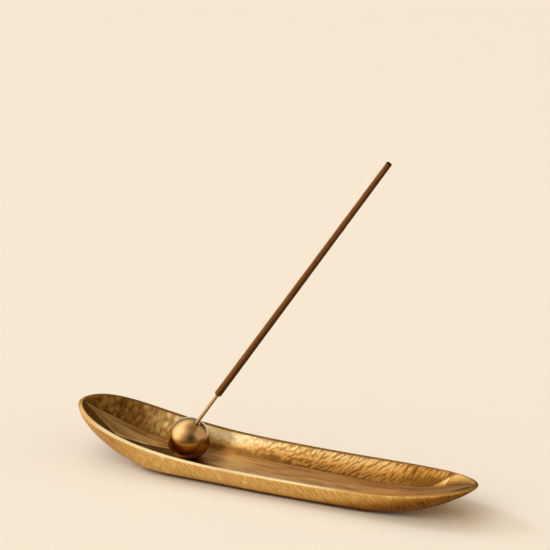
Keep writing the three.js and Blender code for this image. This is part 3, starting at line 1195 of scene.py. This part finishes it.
class BuildCore(bpy.types.Operator):
    """Draw up the bamboo core, with its split fibres, and lay it in the hole"""

    bl_idname = "incense_holder.core"
    bl_label = "Bamboo core"

    def execute(self, context):
        settings = context.scene.incense_stick
        foot = HOLE_MOUTH - HOLE_DEPTH + FOOT_CLEARANCE
        coat_top = HOLE_DEPTH - FOOT_CLEARANCE + BARE_LENGTH + COAT_LENGTH
        top = coat_top - COAT_CAP - COAT_CLEARANCE
        edge = 0.0002
        rings = [(CORE_RADIUS - edge, 0)]
        rings += even_rings(CORE_RADIUS, CORE_RADIUS, edge, top - edge, 110)
        rings.append((CORE_RADIUS - edge, top))
        core = draw_up("core_bamboo", rings, 20)
        roughen(core, CORE_RADIUS, 0.00009, across=6, along=40, seed=settings.seed)
        onto_hole_axis(core, foot)
        smooth(core, 50)
        finish_piece(core, "stick", "bamboo_core", "bamboo", bare_bamboo(settings))
        return {"FINISHED"}


class BuildCoat(bpy.types.Operator):
    """Draw up the incense coat round the core, with its blunt ends and uneven skin"""

    bl_idname = "incense_holder.coat"
    bl_label = "Incense coat"

    def execute(self, context):
        settings = context.scene.incense_stick
        edge = 0.00035
        foot = HOLE_MOUTH + BARE_LENGTH
        bore = CORE_RADIUS + COAT_CLEARANCE
        low, high = COAT_RADIUS_LOW, COAT_RADIUS_TOP
        rings = [(low - edge, 0), (low - 0.3 * edge, 0.3 * edge)]
        rings += even_rings(low, high, edge, COAT_LENGTH - edge, 240)
        rings += [(high - 0.3 * edge, COAT_LENGTH - 0.3 * edge), (high - edge, COAT_LENGTH)]
        coat = draw_up("coat_incense", rings, 32)
        roughen(coat, low, settings.unevenness, across=5, along=900, seed=settings.seed + 1)
        bore_rings = [(bore, -OVERSHOOT), (bore, COAT_LENGTH - COAT_CAP)]
        cut(coat, draw_up("coat_bore_cutter", bore_rings, 32))
        onto_hole_axis(coat, foot)
        smooth(coat, 50)
        finish_piece(coat, "stick", "incense_coat", "incense_paste", incense_paste(settings))
        return {"FINISHED"}


def direction(azimuth, elevation):
    """A direction from the object, by its angle left or right of the camera and its height."""
    turn = AZIMUTH + math.radians(azimuth)
    up = math.radians(elevation)
    return Vector((math.sin(turn) * math.cos(up), -math.cos(turn) * math.cos(up), math.sin(up)))


class SetStage(bpy.types.Operator):
    """Lay the pale floor, light the studio and set the camera"""

    bl_idname = "incense_holder.stage"
    bl_label = "Stage"

    def execute(self, context):
        settings = context.scene.incense_stage
        self.floor(context, settings)
        self.world(context, settings)
        self.lamps(settings)
        self.camera(context)
        context.scene.view_settings.view_transform = "Standard"
        return {"FINISHED"}

    def floor(self, context, settings):
        deselect_all()
        bpy.ops.mesh.primitive_plane_add(size=12)
        floor = context.object
        floor.name = "stage_floor"
        material, shader = new_material("pale floor")
        matt_surface(shader, settings.floor, 0.9, 0.1)
        floor.data.materials.append(material)

    def world(self, context, settings):
        """The studio that lights the object and shows in the metal: a big soft window on the left
        and its light low down, a light behind, a pale card on the right, a dark panel behind it
        and the photographer's dark side. The camera sees the floor's plain colour instead."""
        world = context.scene.world or bpy.data.worlds.new("Studio")
        context.scene.world = world
        shader = Shader(world)
        sky = shader.add("ShaderNodeTexCoord")["Generated"]
        window, low_light, back_light, card, photographer, panel = (
            self.patch(shader, sky, *place) for place in SKY.values())
        strength = (
            settings.room * (1 - photographer * 0.75) * (1 - panel * 0.8)
            + window * settings.window
            + low_light * 0.8
            + back_light * settings.back_light
            + card * settings.card)
        camera_ray = shader.add("ShaderNodeLightPath")["Is Camera Ray"]
        seen = strength * (1 - camera_ray) + camera_ray
        light = shader.mix((window + back_light).lesser(1), (1, 0.86, 0.68), (1, 0.95, 0.88))
        colour = shader.mix(camera_ray, light, settings.floor)
        background = shader.add("ShaderNodeBackground", {}, {"Color": colour, "Strength": seen})
        shader.add("ShaderNodeOutputWorld", {}, {"Surface": background["Background"]})

    def lamps(self, settings):
        """A soft key from behind on the left, which adds to the window's shadows, and a warm
        fill from above that tints them. Neither shows in the metal."""
        self.sun("stage_key", settings.key, 11, (0.62, 0.82, 1), direction(-115, 31))
        self.sun("stage_fill", settings.fill, 110, (1, 0.7, 0.32), direction(0, 85))

    def sun(self, name, strength, angle, colour, towards):
        data = bpy.data.lights.new(name, "SUN")
        data.energy = strength
        data.angle = math.radians(angle)
        data.color = colour
        lamp = bpy.data.objects.new(name, data)
        bpy.context.scene.collection.objects.link(lamp)
        lamp.rotation_euler = towards.to_track_quat("Z", "Y").to_euler()
        lamp.visible_glossy = False

    def patch(self, shader, sky, middle, spread, power):
        """A patch of sky, 1 in its middle and fading out: the power sets how sharp its edge is."""
        centre = direction(*middle)
        sideways = centre.cross(Vector((0, 0, 1))).normalized()
        upward = sideways.cross(centre)
        flat = 2 / (1.0001 + self.dot(shader, sky, centre))
        across = self.dot(shader, sky, sideways) * flat / spread[0]
        high = self.dot(shader, sky, upward) * flat / spread[1]
        return (-1 * (across.size() ** power + high.size() ** power)).exp()

    def dot(self, shader, vector, fixed):
        node = shader.add("ShaderNodeVectorMath", {"operation": "DOT_PRODUCT"},
                          {0: vector, 1: fixed})
        return node["Value"]

    def camera(self, context):
        back = direction(0, math.degrees(ELEVATION))
        data = bpy.data.cameras.new("camera")
        data.sensor_width = SENSOR
        data.lens = LENS
        camera = bpy.data.objects.new("camera", data)
        context.scene.collection.objects.link(camera)
        camera.location = AIM + back * DISTANCE
        camera.rotation_mode = "QUATERNION"
        camera.rotation_quaternion = (-back).to_track_quat("-Z", "Y")
        context.scene.camera = camera


class HolderPanel(bpy.types.Panel):
    bl_idname = "VIEW3D_PT_incense_holder"
    bl_label = "Incense holder"
    bl_space_type = "VIEW_3D"
    bl_region_type = "UI"
    bl_category = "Incense holder"

    def draw(self, context):
        for group, operators in SECTIONS:
            box = self.layout.box()
            settings = getattr(context.scene, group)
            for name in settings.bl_rna.properties.keys():
                if name not in ("rna_type", "name"):
                    box.prop(settings, name)
            for operator in operators:
                box.operator(operator.bl_idname)


SETTINGS = {
    "incense_tray": TraySettings,
    "incense_ball": BallSettings,
    "incense_stick": StickSettings,
    "incense_stage": StageSettings,
}
SECTIONS = (
    ("incense_tray", (BuildTray, BuildScrew)),
    ("incense_ball", (BuildBall,)),
    ("incense_stick", (BuildCore, BuildCoat)),
    ("incense_stage", (SetStage,)),
)
OPERATORS = tuple(operator for _, operators in SECTIONS for operator in operators)


def register():
    for kind in (*SETTINGS.values(), *OPERATORS, HolderPanel):
        bpy.utils.register_class(kind)
    for name, kind in SETTINGS.items():
        setattr(bpy.types.Scene, name, bpy.props.PointerProperty(type=kind))


def unregister():
    for name in SETTINGS:
        delattr(bpy.types.Scene, name)
    for kind in (HolderPanel, *reversed(OPERATORS), *SETTINGS.values()):
        bpy.utils.unregister_class(kind)


def main():
    register()
    bpy.ops.incense_holder.tray()
    bpy.ops.incense_holder.screw()
    bpy.ops.incense_holder.ball()
    bpy.ops.incense_holder.core()
    bpy.ops.incense_holder.coat()
    bpy.ops.incense_holder.stage()


if __name__ == "__main__":
    main()
